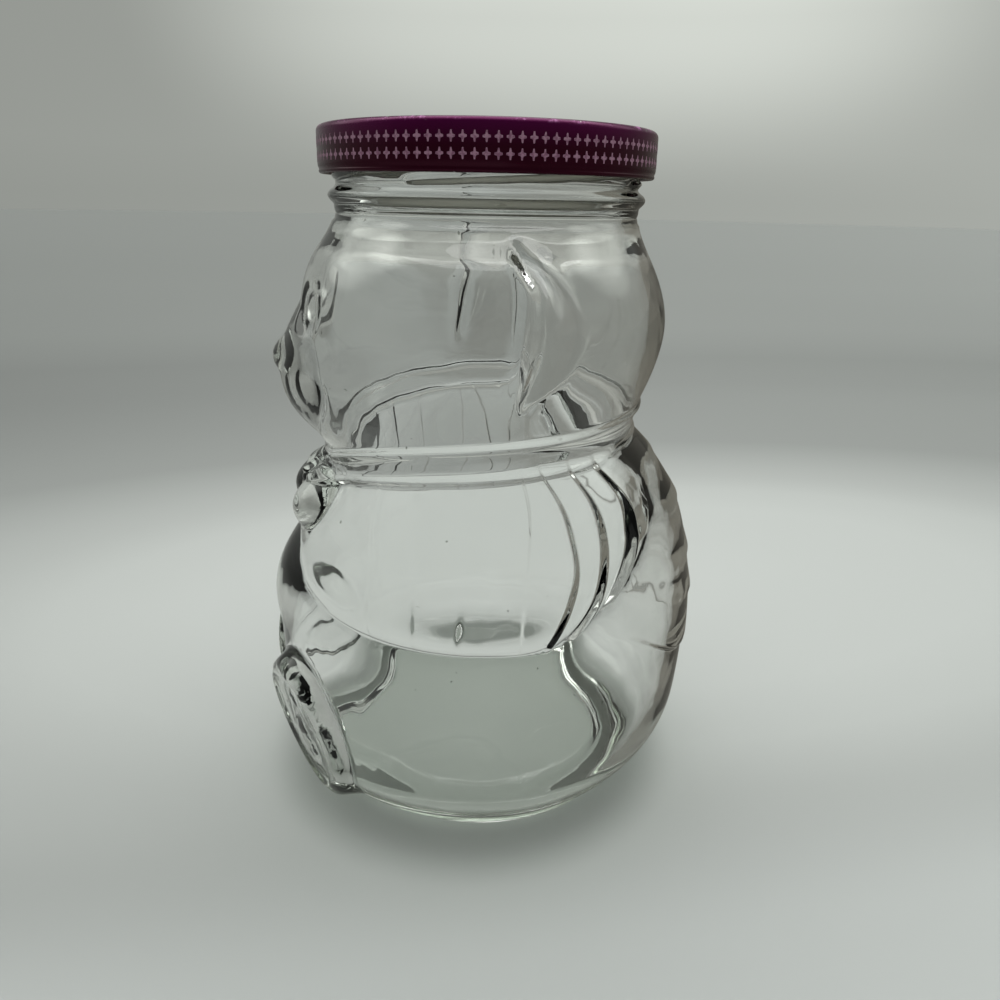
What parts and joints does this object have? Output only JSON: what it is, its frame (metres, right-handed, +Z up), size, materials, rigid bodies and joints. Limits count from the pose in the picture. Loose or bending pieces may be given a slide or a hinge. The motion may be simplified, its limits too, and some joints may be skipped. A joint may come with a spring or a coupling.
{
  "type": "glass food jar",
  "caption": "Clear glass jelly jar moulded as a sitting bear with a ribbed sweater, closed by a twist-off lacquered metal lid with a seal ring.",
  "frame": {"origin": "on the surface the jar stands on, under the middle of its mouth", "axes": "+Z up through the mouth, -Y the way the bear looks, +X towards the bear's left side"},
  "size_m": [0.1204, 0.1257, 0.1788],
  "materials": {
    "clear_glass": "clear flint glass with a faint grey-green tint, polished as moulded",
    "lid_lacquer": "glossy purple lacquer on tinplate, with rows of pale crosses round the skirt",
    "seal_compound": "off-white sealing compound, satin"
  },
  "bodies": {
    "jar": {"glass_jar": "clear_glass"},
    "seal": {"seal_ring": "seal_compound"},
    "lid": {"lid_shell": "lid_lacquer"}
  },
  "joints": [
    {"name": "lid_rise", "type": "slide", "parent": "jar", "child": "seal", "axis": [0, 0, 1], "range_m": [0, 0.01401]},
    {"name": "lid_turn", "type": "hinge", "parent": "seal", "child": "lid", "pos_m": [0, 0, 0.173], "axis": [0, 0, 1], "range_deg": [0, 360]}
  ],
  "couplings": [
    {"joint": "lid_rise", "follows": "lid_turn", "m_per_rad": 0.0022282}
  ]
}
